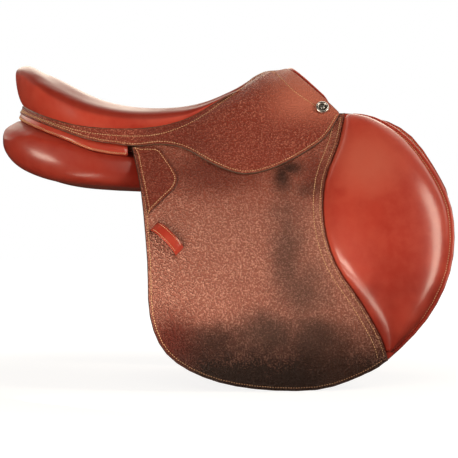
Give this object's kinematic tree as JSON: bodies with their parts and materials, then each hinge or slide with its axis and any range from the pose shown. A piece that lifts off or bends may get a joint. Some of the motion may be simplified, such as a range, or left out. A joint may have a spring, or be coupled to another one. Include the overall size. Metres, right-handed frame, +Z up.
{
  "type": "jumping saddle",
  "caption": "Close contact jumping saddle: leather seat on a spring tree, stuffed panels, forward flaps with knee blocks, skirts, stirrup bars and girth straps.",
  "frame": {"origin": "in the mid plane under the deepest point of the seat, at the level where the panels bear", "axes": "+X forward to the pommel, +Y to the horse's left, +Z up"},
  "size_m": [0.6279, 0.4326, 0.4517],
  "materials": {
    "red_leather": "smooth, waxed",
    "grained_leather": "pebble grained",
    "grip_leather": "pebble grained, worn",
    "dark_leather": "plain",
    "steel": "satin",
    "beech": "laminated beech",
    "foam": "foam",
    "webbing": "linen webbing"
  },
  "bodies": {
    "saddle": {"seat_cover": "red_leather", "pommel_roll": "red_leather", "pommel_facing": "red_leather", "right_panel": "red_leather", "left_panel": "red_leather", "right_panel_facing": "red_leather", "left_panel_facing": "red_leather", "right_skirt": "grained_leather", "left_skirt": "grained_leather", "gullet_lining": "dark_leather", "seat_welt": "dark_leather", "right_sweat_flap": "dark_leather", "left_sweat_flap": "dark_leather", "right_point_pocket": "dark_leather", "left_point_pocket": "dark_leather", "head_plate": "steel", "right_stud": "steel", "left_stud": "steel", "right_stirrup_bar": "steel", "left_stirrup_bar": "steel", "right_bar_rivets": "steel", "left_bar_rivets": "steel", "right_catch_pin": "steel", "left_catch_pin": "steel", "tree_deck": "beech", "tree_head": "beech", "seat_foam": "foam", "seat_web": "webbing", "right_girth_web": "webbing", "left_girth_web": "webbing"},
    "right_flap": {"right_flap": "red_leather", "right_grip_leather": "grip_leather", "right_block": "red_leather", "right_patch": "grained_leather", "right_keeper": "red_leather"},
    "right_lobe": {"right_skirt_lobe": "grained_leather"},
    "right_catch": {"right_bar_catch": "steel"},
    "right_straps": {"right_girth_straps": "dark_leather", "right_buckle_guard": "dark_leather"},
    "left_flap": {"left_flap": "red_leather", "left_grip_leather": "grip_leather", "left_block": "red_leather", "left_patch": "grained_leather", "left_keeper": "red_leather"},
    "left_lobe": {"left_skirt_lobe": "grained_leather"},
    "left_catch": {"left_bar_catch": "steel"},
    "left_straps": {"left_girth_straps": "dark_leather", "left_buckle_guard": "dark_leather"}
  },
  "joints": [
    {"name": "right_flap_lift", "type": "hinge", "parent": "saddle", "child": "right_flap", "pos_m": [-0.04, -0.113, 0.05], "axis": [-0.976, -0.1441, -0.1633], "range_deg": [0, 65]},
    {"name": "right_skirt_lift", "type": "hinge", "parent": "right_flap", "child": "right_lobe", "pos_m": [-0.04, -0.113, 0.05], "axis": [-0.976, -0.1441, -0.1633], "range_deg": [0, 50]},
    {"name": "right_catch_turn", "type": "hinge", "parent": "saddle", "child": "right_catch", "pos_m": [0.10835, -0.10115, 0.04694], "axis": [-0.036, 0.8463, -0.5315], "range_deg": [0, 50]},
    {"name": "right_strap_swing", "type": "hinge", "parent": "saddle", "child": "right_straps", "pos_m": [0.11948, -0.0776, 0.04943], "axis": [0.0321, -0.8369, 0.5464], "range_deg": [-2.5, 2.5]},
    {"name": "left_flap_lift", "type": "hinge", "parent": "saddle", "child": "left_flap", "pos_m": [-0.04, 0.113, 0.05], "axis": [0.976, -0.1441, 0.1633], "range_deg": [0, 65]},
    {"name": "left_skirt_lift", "type": "hinge", "parent": "left_flap", "child": "left_lobe", "pos_m": [-0.04, 0.113, 0.05], "axis": [0.976, -0.1441, 0.1633], "range_deg": [0, 50]},
    {"name": "left_catch_turn", "type": "hinge", "parent": "saddle", "child": "left_catch", "pos_m": [0.10835, 0.10115, 0.04694], "axis": [0.036, 0.8463, 0.5315], "range_deg": [0, 50]},
    {"name": "left_strap_swing", "type": "hinge", "parent": "saddle", "child": "left_straps", "pos_m": [0.11948, 0.0776, 0.04943], "axis": [-0.0321, -0.8369, -0.5464], "range_deg": [-2.5, 2.5]}
  ]
}
